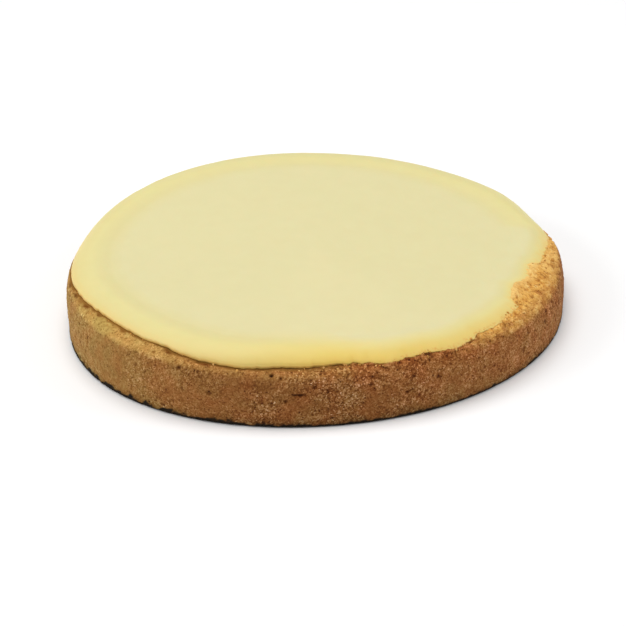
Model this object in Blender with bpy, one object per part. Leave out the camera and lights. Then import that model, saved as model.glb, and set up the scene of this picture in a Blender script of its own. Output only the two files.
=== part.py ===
"""A whole baked cheesecake: a biscuit-crumb crust pressed into a round tin, and the filling baked in it.

Metres, +Z up. The origin is the middle of the cake's underside, and -Y is the side that faces the viewer.
Both pieces are skinned over rings. A ring follows the cake's slightly uneven outline, moved inwards by an
inset, at a height of its own, so every size below is an inset from that outline, a width or a height.
The rings' own middle lies a little off the origin, so that the uneven outline is centred on it.
"""

import math

import bmesh
import bpy

# Driving dimensions
CAKE_RADIUS = 0.1013  # an eight-inch tin
RINGS_MIDDLE = (-0.0021, -0.0008)
RIM_HEIGHT = 0.0226  # mean height of the crust's top edge
FILLING_RISE = 0.0030  # how far the flat top stands above that edge
BASE_THICKNESS = 0.006
GAP = 0.0003  # between the crust and the filling
SEGMENTS = 120  # points round each ring

# The cake is a little uneven. Its outline has soft corners: (how many, how far out, one's direction)
CORNERS = (
    (3, 0.0019, math.radians(-7)),
    (4, 0.0007, math.radians(34)),
)
# and one sharper corner, with a flatter stretch behind it: (direction, half its spread, how far out)
SHARP_CORNER = (
    (math.radians(8), math.radians(8), 0.0014),
    (math.radians(24), math.radians(8.5), -0.0013),
)
RIM_TILT = 0.0015  # the rim is this much higher towards TILT_DIRECTION
TILT_DIRECTION = math.radians(139)
RIM_WAVE = 0.0014  # and this much higher towards WAVE_DIRECTION and opposite it, and lower between them
WAVE_DIRECTION = math.radians(75)
# Dips in the rim, where the filling swells over it: (direction, half its spread, depth)
SAGS = (
    (math.radians(-97), math.radians(22), 0.0025),
    (math.radians(170), math.radians(16), 0.0027),
    (math.radians(16), math.radians(10), 0.0024),
)

# The crust's wall, from the foot up
FOOT_INSET = 0.0001
FOOT_ROUND = 0.0009  # the rounded bottom edge
BELLY_SHARE = 0.45  # share of the rim's height where the wall is widest
TOP_ROUND = 0.0049  # how far the wall leans in at its top
STEEPER = 0.0017  # it leans in this much less towards STEEPER_DIRECTION
STEEPER_DIRECTION = math.radians(103)
STEEPER_SPREAD = math.radians(88)
# and is nearly upright at two of the dips: (direction, half its spread, how much less it leans in)
UPRIGHT = (
    (math.radians(175), math.radians(25), 0.0022),
    (math.radians(24), math.radians(11), 0.0026),
)

# The crumb that shows between the wall and the filling
CRUMB_LINE = 0.0005  # its width nearly all the way round
CRUMB_SLOPE = 0.44  # how much it rises for each metre inwards
CRUMB_LUMP = 0.0006  # height of its coarse lumps where it is broad
BROAD_FROM = 0.005  # the width at which the lumps have their full height
# Each stretch of broader crumb: (middle direction, half its spread, extra width)
BROAD_CRUMB = (
    (math.radians(-18.5), math.radians(16.5), 0.0061),
    (math.radians(-27), math.radians(5), 0.0030),
    (math.radians(-44), math.radians(9), 0.0026),
    (math.radians(-66), math.radians(5.5), 0.0012),
    (math.radians(-84.5), math.radians(9.5), 0.0018),
    (math.radians(-97.5), math.radians(6), 0.0011),
    (math.radians(-140), math.radians(19), 0.0025),
    (math.radians(116), math.radians(17), 0.0006),
)

# The crust's inside
LIP_COVER = 0.003  # how far the filling lies over the crust's inner edge
LIP_DROP = 0.0014  # how much lower the crust is at its inner edge
INNER_TAPER = 0.002  # how far the inner wall leans in towards the base

# The filling's edge, as insets from where it meets the crust, and as heights
LIP_BULGE = 0.0004  # how far the lip swells out over the crust
LIP_HEIGHT = 0.0009  # where the crumb is narrow; the lip is lower over broad crumb
LIP_THINS = 0.8
CREST_INSET = 0.0085  # the puffed ring round the flat top
CREST_RISE = 0.0003  # how far that ring stands above the flat top
FLAT_INSET = 0.0165  # where the flat top begins
FLAT_TILT = 0.8  # how much of the rim's unevenness the flat top takes
DISH = 0.0004  # how far the middle has sunk


def turned(angle, direction):
    """The angle between two directions, from 0 to pi."""
    return abs(math.remainder(angle - direction, 2 * math.pi))


def bells(angle, places):
    """The sum of smooth bumps round the cake. Each place is (direction, half its spread, height)."""
    return sum(height * math.exp(-((turned(angle, middle) / spread) ** 2)) for middle, spread, height in places)


def outline(angle):
    """The cake's widest radius in this direction."""
    radius = CAKE_RADIUS + bells(angle, SHARP_CORNER)
    for corners, extra, direction in CORNERS:
        radius += extra * math.cos(corners * (angle - direction))
    return radius


def uneven(angle):
    """How much higher than its mean the rim is here, apart from its dips."""
    tilt = RIM_TILT * math.cos(angle - TILT_DIRECTION)
    return tilt + RIM_WAVE * math.cos(2 * (angle - WAVE_DIRECTION))


def rim_height(angle):
    """Height of the top of the crust's outer wall."""
    return RIM_HEIGHT + uneven(angle) - bells(angle, SAGS)


def top_round(angle):
    """How far the wall leans in at its top."""
    away = turned(angle, STEEPER_DIRECTION) / STEEPER_SPREAD
    return TOP_ROUND - STEEPER * math.exp(-(away**4)) - bells(angle, UPRIGHT)


def crumb_width(angle):
    """Width of the crumb that shows between the top of the wall and the filling."""
    width = CRUMB_LINE
    ragged = 1 + 0.10 * math.sin(17 * angle) + 0.07 * math.sin(29 * angle + 1.0)
    for middle, spread, extra in BROAD_CRUMB:
        width += extra * ragged * math.exp(-((turned(angle, middle) / spread) ** 3))
    return width


def crumb_height(angle, share):
    """Height of the crumb's surface. share runs from 0 at the top of the wall to 1 at the filling."""
    width = crumb_width(angle)
    strength = CRUMB_LUMP * min(1.0, width / BROAD_FROM) * math.sin(math.pi * share)
    lumps = math.sin(31 * angle + 4 * share) + 0.6 * math.sin(47 * angle - 5 * share + 2)
    return rim_height(angle) + CRUMB_SLOPE * width * share + strength * lumps


def meeting_inset(angle):
    """Inset of the line where the filling's edge meets the crust."""
    return top_round(angle) + crumb_width(angle)


def meeting_height(angle):
    """Height of that line."""
    return crumb_height(angle, 1.0)


def lip_height(angle):
    """Height of the filling's lip over the crust."""
    return LIP_HEIGHT * (1 - LIP_THINS * min(1.0, crumb_width(angle) / BROAD_FROM))


def flat_height(angle):
    """Height of the flat top's edge."""
    return RIM_HEIGHT + FILLING_RISE + FLAT_TILT * uneven(angle)


def ring(inset, height):
    """One ring of points. inset and height are functions of the direction."""
    points = []
    for step in range(SEGMENTS):
        angle = 2 * math.pi * step / SEGMENTS
        radius = outline(angle) - inset(angle)
        x = RINGS_MIDDLE[0] + radius * math.cos(angle)
        y = RINGS_MIDDLE[1] + radius * math.sin(angle)
        points.append((x, y, height(angle)))
    return points


def skin(name, rings, first_height, last_height):
    """Skins the rings from the first to the last, and closes each end with a fan to the rings' middle."""
    shape = bmesh.new()
    loops = [[shape.verts.new(point) for point in points] for points in rings]
    for lower, upper in zip(loops, loops[1:]):
        for step in range(SEGMENTS):
            following = (step + 1) % SEGMENTS
            shape.faces.new((lower[step], lower[following], upper[following], upper[step]))
    for loop, height in ((loops[0], first_height), (loops[-1], last_height)):
        middle = shape.verts.new((*RINGS_MIDDLE, height))
        for step in range(SEGMENTS):
            shape.faces.new((middle, loop[step], loop[(step + 1) % SEGMENTS]))
    bmesh.ops.recalc_face_normals(shape, faces=shape.faces)
    mesh = bpy.data.meshes.new(name)
    shape.to_mesh(mesh)
    shape.free()
    mesh.shade_smooth()
    mesh.set_sharp_from_angle(angle=math.radians(50))
    piece = bpy.data.objects.new(name, mesh)
    bpy.context.scene.collection.objects.link(piece)
    return piece


def foot_rings():
    """The crust's underside and its rounded bottom edge."""
    return [
        ring(lambda angle: 0.7 * CAKE_RADIUS, lambda angle: 0.0),
        ring(lambda angle: FOOT_INSET + FOOT_ROUND, lambda angle: 0.0),
        ring(lambda angle: FOOT_INSET + 0.3 * FOOT_ROUND, lambda angle: 0.3 * FOOT_ROUND),
    ]


def wall_ring(share):
    """A ring of the outer wall at this share of the rim's height, short of its top."""
    below = max(0.0, 1 - share / BELLY_SHARE)
    above = max(0.0, (share - BELLY_SHARE) / (1 - BELLY_SHARE))
    lean = 1 - math.sqrt(1 - above**2)
    return ring(
        lambda angle: FOOT_INSET * below**2 + top_round(angle) * lean,
        lambda angle: share * rim_height(angle),
    )


def crumb_ring(share):
    """A ring of the crumb, from the top of the wall at 0 to the filling at 1."""
    return ring(
        lambda angle: top_round(angle) + share * crumb_width(angle),
        lambda angle: crumb_height(angle, share),
    )


def make_crust():
    """The crumb crust: a low cup with a base, a wall and an uneven rim."""
    rings = foot_rings()
    rings += [wall_ring(share) for share in (0.07, 0.22, BELLY_SHARE, 0.65, 0.80, 0.90, 0.96, 0.99)]
    rings += [crumb_ring(share) for share in (0.0, 0.3, 0.65, 1.0)]
    rings += [
        ring(
            lambda angle: meeting_inset(angle) + LIP_COVER,
            lambda angle: meeting_height(angle) - LIP_DROP,
        ),
        ring(
            lambda angle: meeting_inset(angle) + LIP_COVER + INNER_TAPER,
            lambda angle: BASE_THICKNESS,
        ),
    ]
    return skin("crust", rings, 0.0, BASE_THICKNESS)


def inner_rings():
    """The filling's sides inside the crust, up to where its lip meets the crust's rim."""
    return [
        ring(
            lambda angle: meeting_inset(angle) + LIP_COVER + INNER_TAPER + GAP,
            lambda angle: BASE_THICKNESS + GAP,
        ),
        ring(
            lambda angle: meeting_inset(angle) + LIP_COVER + GAP,
            lambda angle: meeting_height(angle) - LIP_DROP + GAP,
        ),
        ring(meeting_inset, lambda angle: meeting_height(angle) + GAP),
        ring(
            lambda angle: meeting_inset(angle) - LIP_BULGE,
            lambda angle: meeting_height(angle) + GAP + 0.45 * lip_height(angle),
        ),
    ]


def shoulder_ring(share):
    """A ring of the filling's rounded edge, from the top of its lip at 0 to the crest at 1."""
    bend = math.sin(0.5 * math.pi * share)

    def height(angle):
        low = meeting_height(angle) + GAP + lip_height(angle)
        return low + (flat_height(angle) + CREST_RISE - low) * bend

    return ring(
        lambda angle: meeting_inset(angle) - LIP_BULGE + share * (CREST_INSET + LIP_BULGE), height
    )


def flat_ring(share):
    """A ring of the nearly flat top, which dishes towards the middle. share is 1 at its edge, 0 in its middle."""

    def inset(angle):
        edge = outline(angle) - meeting_inset(angle) - FLAT_INSET
        return outline(angle) - share * edge

    level = RIM_HEIGHT + FILLING_RISE - DISH * (1 - share**2)
    return ring(inset, lambda angle: level + share * FLAT_TILT * uneven(angle))


def make_filling():
    """The filling: it fills the crust, laps over its rim, and has a rounded edge round a flat top."""
    rings = inner_rings()
    rings += [shoulder_ring(share) for share in (0.0, 0.15, 0.35, 0.65, 1.0)]
    rings += [flat_ring(share) for share in (1.0, 0.66, 0.33)]
    return skin("filling", rings, BASE_THICKNESS + GAP, RIM_HEIGHT + FILLING_RISE - DISH)


def paint(piece, colour, roughness):
    """Gives a piece its own plain material."""
    material = bpy.data.materials.new(piece.name)
    material.use_nodes = True
    shader = material.node_tree.nodes["Principled BSDF"]
    shader.inputs["Base Color"].default_value = (*colour, 1.0)
    shader.inputs["Roughness"].default_value = roughness
    shader.inputs["Metallic"].default_value = 0.0
    piece.data.materials.append(material)


def main():
    for old in list(bpy.data.objects):
        bpy.data.objects.remove(old)
    paint(make_crust(), (0.36, 0.17, 0.055), 0.9)
    paint(make_filling(), (0.80, 0.72, 0.40), 0.45)


main()
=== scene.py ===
"""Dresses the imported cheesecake: a crust of pressed biscuit crumb with its grains, pits and loose crumbs,
and a smooth baked filling. Metres, +Z up; directions are angles round the cake, with the front at -90
degrees.
"""

import itertools
import math

import bmesh
import bpy
import numpy as np
from mathutils import Matrix, Vector


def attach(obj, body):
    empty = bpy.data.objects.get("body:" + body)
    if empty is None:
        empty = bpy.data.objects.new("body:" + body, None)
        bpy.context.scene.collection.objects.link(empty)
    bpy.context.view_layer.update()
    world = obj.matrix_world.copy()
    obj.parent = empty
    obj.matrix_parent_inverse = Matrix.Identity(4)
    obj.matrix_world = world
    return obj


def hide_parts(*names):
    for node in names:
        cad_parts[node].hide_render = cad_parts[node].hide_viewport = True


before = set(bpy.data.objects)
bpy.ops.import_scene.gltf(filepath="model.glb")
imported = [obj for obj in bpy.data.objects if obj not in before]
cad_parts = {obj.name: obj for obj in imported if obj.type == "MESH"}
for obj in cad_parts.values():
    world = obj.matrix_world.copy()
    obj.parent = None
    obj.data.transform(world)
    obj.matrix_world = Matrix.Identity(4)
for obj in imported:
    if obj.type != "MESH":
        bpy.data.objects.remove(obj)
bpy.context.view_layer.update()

MM = 0.001


def stretch(direction, spread, *amount):
    """A stretch round the cake: its middle and half its spread, both in degrees, and an amount for it."""
    return (math.radians(direction), math.radians(spread), *amount)


# The cake's form, as the solids have it
CAKE_RADIUS = 101.3 * MM
RINGS_MIDDLE = (-2.1 * MM, -0.8 * MM)
RIM_HEIGHT = 22.6 * MM
FILLING_RISE = 3.0 * MM
BASE_THICKNESS = 6.0 * MM
GAP = 0.3 * MM
# The outline's soft corners: (how many, how far out, one's direction)
CORNERS = (
    (3, 1.9 * MM, math.radians(-7)),
    (4, 0.7 * MM, math.radians(34)),
)
# One sharper corner, with a flatter stretch behind it: how many millimetres out
SHARP_CORNER = (
    stretch(8, 8, 1.4),
    stretch(24, 8.5, -1.3),
)
RIM_TILT = 1.5 * MM
TILT_DIRECTION = math.radians(139)
RIM_WAVE = 1.4 * MM
WAVE_DIRECTION = math.radians(75)
# Dips in the rim, where the filling swells over it: how many millimetres deep
SAGS = (
    stretch(-97, 22, 2.5),
    stretch(170, 16, 2.7),
    stretch(16, 10, 2.4),
)
FOOT_INSET = 0.1 * MM
FOOT_ROUND = 0.9 * MM
UNDERSIDE_INSET = 2.35 * MM
BELLY_SHARE = 0.45
TOP_ROUND = 4.9 * MM
STEEPER = 1.7 * MM
STEEPER_STRETCH = stretch(103, 88)
# Where the wall is nearly upright: how many millimetres less it leans in
UPRIGHT = (
    stretch(175, 25, 2.2),
    stretch(24, 11, 2.6),
)
CRUMB_LINE = 0.5 * MM
CRUMB_SLOPE = 0.44
# Ripples along the crumb's width: (how strong, how many round the cake, where they start)
RIPPLES = (
    (0.1, 17, 0.0),
    (0.07, 29, 1.0),
)
# Noise in the crumb's width: (size, seed, how much), and the rags' depth elsewhere and on their stretch
WIDTH_WAVES = (4 * MM, 11, 0.22)
RAGS = (1.8 * MM, 12)
RAG_DEPTHS = (0.12 * MM, 0.57 * MM)
RAGS_STRETCH = stretch(-62, 38.4)
# Crumb counts as broad from the first width, and fully from the second
BROAD_WIDTHS = (3.0 * MM, 5.2 * MM)
LEDGE_TUCK = 2.4 * MM
# How the crust goes on under the filling's edge: (distance inwards, drop)
LEDGE_END = (0.6 * MM, 0.5 * MM)
LIP_COVER = 3.0 * MM
LIP_DROP = 1.4 * MM
INNER_TAPER = 2.0 * MM
LIP_BULGE = 0.4 * MM
LIP_HEIGHT = 0.9 * MM
CREST_INSET = 8.5 * MM
CREST_RISE = 0.3 * MM
CREST_SLOPE = 0.3
FLAT_INSET = 16.5 * MM
FLAT_TILT = 0.8
FLAT_SINK = 0.35 * MM
EDGE_SINK = 0.6 * MM
EDGE_REACH = 1.2 * MM
LIP_ROUNDNESS = 0.4
LIP_INSIDE = 0.5 * MM
# The lip's height over broad crumb, and elsewhere
LIP_HEIGHTS = (0.1 * LIP_HEIGHT, 1.8 * LIP_HEIGHT)
CALM_REACH = 5.0 * MM
FILLING_BIAS = 0.2 * MM
CRUST_BIAS = 0.32 * MM
FOOT_BIAS = 0.15 * MM
# The relief is weaker and the bias smaller up to this height
FOOT_HEIGHT = 3 * MM
FOOT_RELIEF = 0.4
# The filling's colour changes over this distance from the crust, and is deepest towards the front
COLOUR_REACH = 25 * MM
DEEP_STRETCH = stretch(-76, 32)
# At the back the filling's edge has nearly the colour of its top
BACK_EVEN = 11 * MM
BACK_STRETCH = stretch(85, 80)
# Noise that swells the filling: (size, seed, height), and where that of its edge ends
FILLING_SWELL = (30 * MM, 101, 0.16 * MM)
FILLING_WAVES = (11 * MM, 102, 0.07 * MM)
FILLING_EDGE = (5 * MM, 103, 0.1 * MM)
FILLING_EDGE_END = (2 * MM, 7 * MM)
# Where its looks start and end, as distances from the crust
THIN_EDGE = (0.5 * MM, 6.5 * MM)
BRINK = (0, 2.5 * MM)
BACK_EDGE = (0.5 * MM, 3 * MM)
# Over broad crumb its colour is that of a place this much further in, and this share further
THINNED = (1.2 * MM, 1.2)
# Stretches of broad crumb: how many millimetres broader
BROAD_CRUMB = (
    stretch(-18.5, 16.5, 6.1),
    stretch(-27, 5, 3.0),
    stretch(-44, 9, 2.6),
    stretch(-66, 5.5, 1.2),
    stretch(-84.5, 9.5, 1.8),
    stretch(-97.5, 6, 1.1),
    stretch(-140, 19, 2.5),
    stretch(116, 17, 0.6),
)

# The broadest stretch is golden, and its neighbour towards the front has a ragged rim
GOLDEN_DIRECTION = math.radians(-18)
GOLDEN_SPREAD = (math.radians(26), math.radians(44))
RAGGED_STRETCH = stretch(-62, 24)
# Where the filling has no lip and merges with the crumb: how far, up to 1
MERGING = (
    stretch(-52, 30, 0.7),
    stretch(-1, 11, 1.0),
)
# The crust is paler and yellower on the left, fading out towards the front and the back
PALE_DIRECTION = math.radians(-175)
PALE_SPREAD = (math.radians(22), math.radians(74))
# Other stretches where it looks different
CALM_STRETCH = stretch(-40, 28)
EVEN_STRETCH = stretch(-130, 22)
PALER_AND_MORE_LIT_RIM_STRETCH = stretch(-131, 22)
BROWNER_AND_LESS_LIT_RIM_STRETCH = stretch(-64, 17)
STAINED_STRETCH = stretch(-168, 24)
FRAYED_SHADOW_STRETCH = stretch(-128, 34)
GOLDEN_RIM = stretch(4, 10)
CREAMY_RIM = stretch(-1, 11)
# Where looks start and end, as shares of the way up the wall
NEAR_TOP = (0.84, 0.99)
ON_RIM = (0.86, 0.96)
LIGHT_RIM = (0.86, 0.97)
RED_WALL = (0.45, 0.95)
# How strong the looks are
# The rim's lighter band is partly paler crumb and partly a painted highlight
RIM_LIGHT = 0.46
LESS_LIGHT = 0.42
MORE_LIGHT = 0.52
LESS_RED = 0.7
LESS_PALE_TOP = 0.2
LEAST_GOLDEN_RIM = 0.4
GOLDEN_LEDGE = 1.8
GOLD_UNEVENNESS = 0.5
CREAMY_LEDGE = (0.4, 1.0)
CREAM_UNEVENNESS = 0.3
RIM_CREAM = 0.8

# The dark line where the crust meets the filling, and the stain beside it, with their wander's noise
LINE_WIDTH = 1.3 * MM
LINE_DEPTH = 0.05 * MM
HALO_WIDTH = 2.3 * MM
LINE_WANDER = (8 * MM, 91, 0.6)
FINE_LINE_WANDER = (1.3 * MM, 93, 0.3)
# How strong the stain is elsewhere and on its stretch, and how much less the line is on ragged crumb
HALO = (0.25, 0.6)
LESS_SCORCH = 0.85
# The crumb's layers: (size, seed) with how high or deep they are, or (size, seed, height)
SWELL = (24 * MM, 71, 0.2 * MM)
WAVES = (5 * MM, 72, 0.14 * MM)
PATCHES = (10 * MM, 21)
ROUGH_PATCHES = (-0.4, 0.25)
GRAINS = (1.25 * MM, 31)
GRAIN_HEIGHT = 0.2 * MM
CRACK_DEPTH = 0.14 * MM
SMALL_GRAINS = (0.8 * MM, 41)
SMALL_GRAIN_HEIGHT = 0.16 * MM
# Widths of cracks between grains, of those on lumps, of dips between chunks, and of the gaps that painted
# shade darkens
CRACK_WIDTH = 0.14
LUMP_CRACK_WIDTH = 0.12
DIP_WIDTH = 0.2
SHADED_GAP_WIDTH = 0.1
# What stays of each layer where the crumb isn't rough, and how much less rough it is in places
LEAST_GRAINS = 0.25
LEAST_CRACKS = 0.2
LEAST_SMALL_GRAINS = 0.35
LEAST_FINE_HOLES = 0.3
LESS_WHERE_CALM = 0.6
LESS_WHERE_EVEN = 0.35
LESS_WHERE_PALE = 0.35
LESS_NEAR_TOP = 0.5
# Lumps on the broad ledge, and chunks along the ragged rim
LUMPS = (2.6 * MM, 81)
LUMP_HEIGHT = 0.38 * MM
LUMP_CROWN = 0.22 * MM
LUMP_GRAIN_HEIGHT = 0.26 * MM
LUMP_CRACK_DEPTH = 0.16 * MM
LUMP_WAVES = (2.0 * MM, 82, 0.14 * MM)
CHUNKS = (1.6 * MM, 85)
CHUNK_HEIGHT = 0.8 * MM
CHUNK_DIP = 0.25 * MM
# The dips beside chunks numbered under this get painted shade
SHADED_CHUNKS = 0.45
# How much weaker the rest is under lumps, and the chunks are on the broad ledge
LESS_UNDER_LUMPS = 0.6
LESS_RAGGED = 0.9
# Scattered pits: (size, seed, share of places that have one), and their radii as shares of the size
PIT_RADII = (0.15, 0.5)
HOLES = (2.3 * MM, 51, 0.24)
HOLE_DEPTH = 0.32 * MM
FINE_HOLES = (1.2 * MM, 61, 0.4)
FINE_HOLE_DEPTH = 0.26 * MM
RIM_HOLES = (2.4 * MM, 105, 0.6)
# Those along the ragged rim: how far below the line, half their band's width, and their strength
RIM_HOLES_BAND = (1.5 * MM, 1.1 * MM, 0.9)
# How much painted shade darkens holes, fine holes, pits and dips
PIT_SHADE = (0.8, 0.7, 1.0, 0.8)
CHIPS = (3.0 * MM, 95, 0.45)
CHIP_DEPTH = 0.5 * MM
CHIPS_TOP = (0.4 * MM, 1.8 * MM)
# A near-black painted shadow along the foot: its height, and how it frays, elsewhere and on the frayed
# stretch
FOOT_SHADOW_EDGE = (1.35 * MM, 1.85 * MM)
SHADOW_FRAYS = (2.6 * MM, 96)
SHADOW_FRAY_HEIGHT = (1.0 * MM, 1.9 * MM)
FOOT_SHADOW_BLUR = (0.3 * MM, 0.15 * MM)
# Painted shade darkens the crumb above it too, less so from the first to the second of these heights
FOOT_SHADE = (0.2 * MM, 5.0 * MM)
FOOT_SHADE_WANDER = 2.0 * MM
# How ragged a single mark's edge is: (size, seed, how far it strays)
MARK_RAGS_ALONG = (1.1 * MM, 98, 0.3 * MM)
MARK_RAGS_DOWN = (1.0 * MM, 99, 0.25 * MM)
# Single pits: (direction in degrees, millimetres below the line, half width, half height, strength)
PIT_DEPTH = 0.9 * MM
PITS = (
    (-99, 3.7, 0.8, 0.8, 1.2),
    (-97, 4.9, 0.45, 0.5, 0.8),
    (-112, 12, 1.2, 1.0, 0.6),
    (-93, 11, 2.4, 0.5, 0.8),
    (-90, 8.5, 0.8, 0.6, 0.8),
    (-96, 13.5, 0.8, 0.7, 0.7),
    (-126, 4, 0.8, 0.6, 0.6),
    (-119, 5.5, 0.7, 0.7, 0.8),
    (-147, 13, 0.5, 2.6, 0.5),
    (-64, 2, 1.8, 0.9, 0.8),
    (-70, 14, 1.3, 0.5, 0.6),
    (-36, 10, 0.6, 0.8, 0.5),
    (30, 9, 1.2, 0.6, 0.7),
    (62, 5.5, 0.8, 0.8, 0.8),
    (95, 14, 1.8, 0.5, 0.6),
    (140, 8, 1.0, 0.7, 0.8),
)
# Brown smears beside the line, in the same terms
SMEAR_DEPTH = 0.15 * MM
SMEARS = (
    (-167, 1.6, 2.8, 1.2, 0.9),
    (-160, 1.5, 2.4, 1.1, 0.9),
    (-153, 1.4, 2.6, 1.0, 1.0),
    (-147, 1.2, 1.8, 0.9, 0.9),
    (-137, 1.0, 2.0, 1.0, 0.9),
    (-123, 1.2, 2.2, 1.1, 1.0),
    (-114, 1.1, 3.0, 1.0, 1.0),
    (150, 1.3, 2.6, 0.7, 0.9),
    (84, 1.2, 2.4, 0.7, 0.9),
    (48, 1.3, 1.8, 0.6, 1.0),
)

# How finely the meshes are cut
CRUST_COLUMNS = 1200
FOOT_ROWS = 6
WALL_ROWS = 21
LEAN_ROWS = 36
LEDGE_ROWS = 16
END_ROWS = 3
FILLING_COLUMNS = 900
LIP_ROWS = 7
CREST_ROWS = 30
SINK_ROWS = 14
FLAT_ROWS = 20

# Loose crumbs: how many, on which rows from the ledge's first, and their radii in millimetres
CRUMB_COUNT = 300
CRUMB_ROWS = (-4, 13)
LEAST_CHANCE = 0.04
GOLDEN_CHANCE = 0.5
CRUMB_RADII = (0.22, 0.5)
CRUMB_GROWTH = 0.6
CRUMB_SIDES = (0.65, 1.25)
CRUMB_BUMPS = 0.32
CRUMB_SINK = (-0.6, 0.1)
CRUMB_SEED = 7

# The camera, which sees the cake as the photograph does
CAMERA_DISTANCE = 0.706
CAMERA_ELEVATION = math.radians(27.19)
CAMERA_ROLL = math.radians(-1.54)
CAMERA_LENS = 98.48
CAMERA_AIM = Vector((0.18, -2.23, -4.35)) * MM
SENSOR_WIDTH = 36

# The white floor, just under the cake so the two don't touch, and soft square lights
FLOOR_HALF = 3.0
FLOOR_DROP = 0.05 * MM
FLOOR_WHITE = (0.95, 0.95, 0.95)
WORLD_WHITE = (1.0, 1.0, 1.0, 1.0)
WORLD_STRENGTH = 0.32
# Each is (name, place, aim, side, power)
LIGHTS = (
    ("overhead", (-0.15, 0.15, 1.3), (0, 0, 0), 1.0, 10.9),
    ("left", (-1.1, -0.25, 0.55), (0, 0, 0.02), 0.7, 7.6),
    ("right", (1.2, 0.0, 0.6), (0, 0, 0.02), 0.7, 7.0),
)


# ---- repeatable noise


def cell_random(cell, seed):
    """A repeatable number from 0 to 1 for each cell of a lattice."""
    x, y, z = (cell[..., axis].astype(np.int64) for axis in range(3))
    key = (x * 73856093) ^ (y * 19349663) ^ (z * 83492791) ^ (seed * 97531)
    key = ((key ^ (key >> 15)) * 2246822519) & 0xFFFFFFFF
    key = ((key ^ (key >> 13)) * 3266489917) & 0xFFFFFFFF
    return ((key ^ (key >> 16)) & 0xFFFFFF) / 0x1000000


def soft_noise(points, size, seed, height=1):
    """Smooth noise from -height to height, with features about size across."""
    scaled = points / size
    cell = np.floor(scaled)
    part = scaled - cell
    ease = part * part * (3 - 2 * part)
    total = 0
    for corner in itertools.product((0, 1), repeat=3):
        weight = np.prod(np.where(corner, ease, 1 - ease), axis=-1)
        total = total + weight * cell_random(cell + corner, seed)
    return height * (2 * total - 1)


def layered_noise(points, size, seed, height=1, layers=3):
    """Soft noise with finer and weaker layers on it."""
    total = sum(soft_noise(points, size / 2**layer, seed + layer) / 2**layer for layer in range(layers))
    return height * total / (2 - 0.5 ** (layers - 1))


def nearby(points, size, seed):
    """Each cell round a point in turn, and how far the point is from the cell's random middle."""
    scaled = points / size
    for step in itertools.product((-1, 0, 1), repeat=3):
        cell = np.floor(scaled) + step
        middle = cell + np.stack([cell_random(cell, seed + axis) for axis in range(3)], axis=-1)
        yield cell, np.linalg.norm(middle - scaled, axis=-1)


def grains(points, size, seed):
    """A random packing of grains: how far a point is from its grain's border, and that grain's own number."""
    nearest = np.full(points.shape[:-1], 9.0)
    second = nearest.copy()
    own = np.zeros_like(nearest)
    for cell, away in nearby(points, size, seed):
        closer = away < nearest
        second = np.where(closer, nearest, np.minimum(second, away))
        own = np.where(closer, cell_random(cell, seed + 3), own)
        nearest = np.where(closer, away, nearest)
    return second - nearest, own


def pits(points, size, seed, share):
    """Scattered round pits, 1 at the bottom of one and 0 outside them. share is how many cells have one."""
    depth = np.zeros(points.shape[:-1])
    for cell, away in nearby(points, size, seed):
        radius = np.interp(cell_random(cell, seed + 4), (0, 1), PIT_RADII)
        there_is_one = cell_random(cell, seed + 5) < share
        depth = np.maximum(depth, there_is_one * np.clip(1 - (away / radius) ** 2, 0, 1))
    return depth


def rise(value, low, high):
    """0 below low, 1 above high, and a smooth rise between them."""
    share = np.clip((value - low) / (high - low), 0, 1)
    return share * share * (3 - 2 * share)


def fade(value, reach, power=2):
    """1 where a value is 0, falling away on both sides."""
    return np.exp(-((value / reach) ** power))


def at_least(low, share):
    """A share from 0 to 1, moved up to run from low to 1."""
    return low + (1 - low) * share


# ---- the cake's form


def turned(angles, direction):
    """The angle between two directions, from 0 to pi."""
    return np.abs((angles - direction + np.pi) % (2 * np.pi) - np.pi)


def bell(angles, direction, spread, power=2):
    """1 in a direction, falling away on both sides of it."""
    return fade(turned(angles, direction), spread, power)


def bells(angles, places):
    """The sum of smooth bumps round the cake, in metres. Each is a stretch with its millimetres."""
    return MM * sum(height * bell(angles, middle, spread) for middle, spread, height in places)


def outline(angles):
    """The cake's widest radius."""
    radius = CAKE_RADIUS + bells(angles, SHARP_CORNER)
    for corners, extra, direction in CORNERS:
        radius = radius + extra * np.cos(corners * (angles - direction))
    return radius


def uneven(angles):
    """How much higher than its mean the rim is, apart from its dips."""
    tilt = RIM_TILT * np.cos(angles - TILT_DIRECTION)
    return tilt + RIM_WAVE * np.cos(2 * (angles - WAVE_DIRECTION))


def rim_height(angles):
    """Height of the top of the crust's outer wall."""
    return RIM_HEIGHT + uneven(angles) - bells(angles, SAGS)


def top_round(angles):
    """How far the wall leans in at its top."""
    less = STEEPER * bell(angles, *STEEPER_STRETCH, 4) + bells(angles, UPRIGHT)
    return TOP_ROUND - less


def around(angles):
    """Points on a circle, to read noise at."""
    return np.stack([CAKE_RADIUS * np.cos(angles), CAKE_RADIUS * np.sin(angles), 0 * angles], axis=-1)


def even_width(angles):
    """Width of the crumb that shows between the top of the wall and the filling, before its noise."""
    width = CRUMB_LINE + 0 * angles
    ragged = 1 + sum(strength * np.sin(count * angles + start) for strength, count, start in RIPPLES)
    for middle, spread, extra in BROAD_CRUMB:
        width = width + extra * MM * ragged * bell(angles, middle, spread, 3)
    return width


def crumb_width(angles):
    """The same width, ragged as the crumbs make it."""
    ragged = np.interp(bell(angles, *RAGS_STRETCH, 4), (0, 1), RAG_DEPTHS)
    waves = 1 + layered_noise(around(angles), *WIDTH_WAVES)
    return even_width(angles) * waves + ragged * layered_noise(around(angles), *RAGS, layers=2)


def flat_height(angles):
    """Height of the flat top's edge, before it sinks."""
    return RIM_HEIGHT + FILLING_RISE + FLAT_TILT * uneven(angles)


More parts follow.
